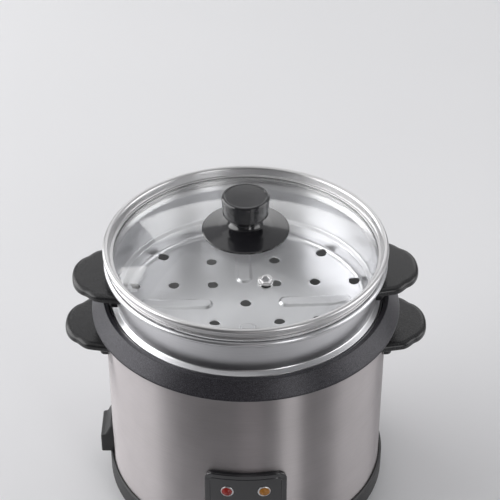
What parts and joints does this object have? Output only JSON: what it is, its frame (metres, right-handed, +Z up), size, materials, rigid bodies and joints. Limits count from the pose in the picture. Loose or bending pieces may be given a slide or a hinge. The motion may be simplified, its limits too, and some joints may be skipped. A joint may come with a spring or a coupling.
{
  "type": "rice cooker",
  "caption": "Drum rice cooker with a steel sleeve, a sloping dark rim, a lift-out pot, a steamer basket, a domed glass lid with a knob, and a cook lever on the front.",
  "frame": {"origin": "centre of the footprint on the table, under the drum's axis", "axes": "+Z up along the drum's axis, -Y to the front with the cook lever, X through the side handles, the power inlet at -X"},
  "size_m": [0.3052, 0.2572, 0.2885],
  "materials": {
    "brushed_steel": "vertical satin",
    "rim_plastic": "dark charcoal with fine metallic sparkle",
    "satin_aluminium": "satin, spun",
    "pot_aluminium": "spun satin",
    "cast_aluminium": "as cast, turned top",
    "plain_steel": "zinc plated",
    "polished_steel": "polished",
    "black_plastic": "fine texture",
    "gloss_black": "high gloss",
    "phenolic": "moulded phenolic, semi-matt",
    "foot_rubber": "matt",
    "silicone": "matt",
    "lid_glass": "clear tempered",
    "mica_band": "mica sheet",
    "ceramic_white": "unglazed",
    "brass_pin": "bare",
    "red_lens": "translucent",
    "amber_lens": "translucent"
  },
  "bodies": {
    "cooker": {"outer_shell": "brushed_steel", "rim_ring": "rim_plastic", "inner_liner": "satin_aluminium", "keep_warm_band": "mica_band", "base_skirt": "black_plastic", "base_plate": "plain_steel", "heating_plate": "cast_aluminium", "heating_element": "plain_steel", "sensor_housing": "plain_steel", "thermal_fuse": "ceramic_white", "lever_bracket": "plain_steel", "lever_pivot_pin": "polished_steel", "micro_switch": "black_plastic", "terminal_block": "ceramic_white", "control_panel": "gloss_black", "cook_lamp": "red_lens", "warm_lamp": "amber_lens", "inlet_housing": "black_plastic", "foot_1": "foot_rubber", "foot_2": "foot_rubber", "foot_3": "foot_rubber", "foot_4": "foot_rubber", "base_screw_1": "plain_steel", "plate_standoff_1": "ceramic_white", "inlet_pin_1": "brass_pin", "base_screw_2": "plain_steel", "plate_standoff_2": "ceramic_white", "inlet_pin_2": "brass_pin", "base_screw_3": "plain_steel", "plate_standoff_3": "ceramic_white", "inlet_pin_3": "brass_pin", "body_handle_left": "phenolic", "body_handle_screw_left_1": "plain_steel", "body_handle_screw_left_2": "plain_steel", "body_handle_right": "phenolic", "body_handle_screw_right_1": "plain_steel", "body_handle_screw_right_2": "plain_steel"},
    "sensor": {"sensor_cap": "satin_aluminium", "sensor_spring": "plain_steel"},
    "armature": {"magnet_armature": "plain_steel"},
    "lever": {"cook_lever": "gloss_black", "link_arm": "plain_steel"},
    "pot": {"inner_pot": "pot_aluminium"},
    "steamer": {"steamer_basket": "satin_aluminium", "steamer_handle_left": "phenolic", "steamer_bracket_left": "plain_steel", "steamer_handle_screw_left": "plain_steel", "steamer_handle_right": "phenolic", "steamer_bracket_right": "plain_steel", "steamer_handle_screw_right": "plain_steel"},
    "lid": {"lid_glass": "lid_glass", "lid_ring": "polished_steel", "knob_base": "gloss_black", "knob_grip": "gloss_black", "knob_washer": "silicone", "knob_screw": "plain_steel", "vent_eyelet": "polished_steel"}
  },
  "joints": [
    {"name": "sensor_press", "type": "slide", "parent": "cooker", "child": "sensor", "axis": [0, 0, 1], "range_m": [-0.002, 0], "stiffness_N_per_m": 400, "springref_m": 0.004, "deforming": ["sensor_spring"]},
    {"name": "lever_tilt", "type": "hinge", "parent": "cooker", "child": "lever", "pos_m": [0, -0.05, 0.023], "axis": [1, 0, 0], "range_deg": [0, 5], "stiffness_Nm_per_rad": 0.3, "springref_deg": -11.46},
    {"name": "armature_lift", "type": "slide", "parent": "cooker", "child": "armature", "axis": [0, 0, 1], "range_m": [0, 0.0045]},
    {"name": "pot_lift", "type": "slide", "parent": "cooker", "child": "pot", "axis": [0, 0, 1], "range_m": [0, 0.16]},
    {"name": "steamer_lift", "type": "slide", "parent": "pot", "child": "steamer", "axis": [0, 0, 1], "range_m": [0, 0.06]},
    {"name": "lid_lift", "type": "slide", "parent": "steamer", "child": "lid", "axis": [0, 0, 1], "range_m": [0, 0.08]}
  ],
  "couplings": [
    {"joint": "armature_lift", "follows": "lever_tilt", "m_per_rad": 0.05}
  ]
}
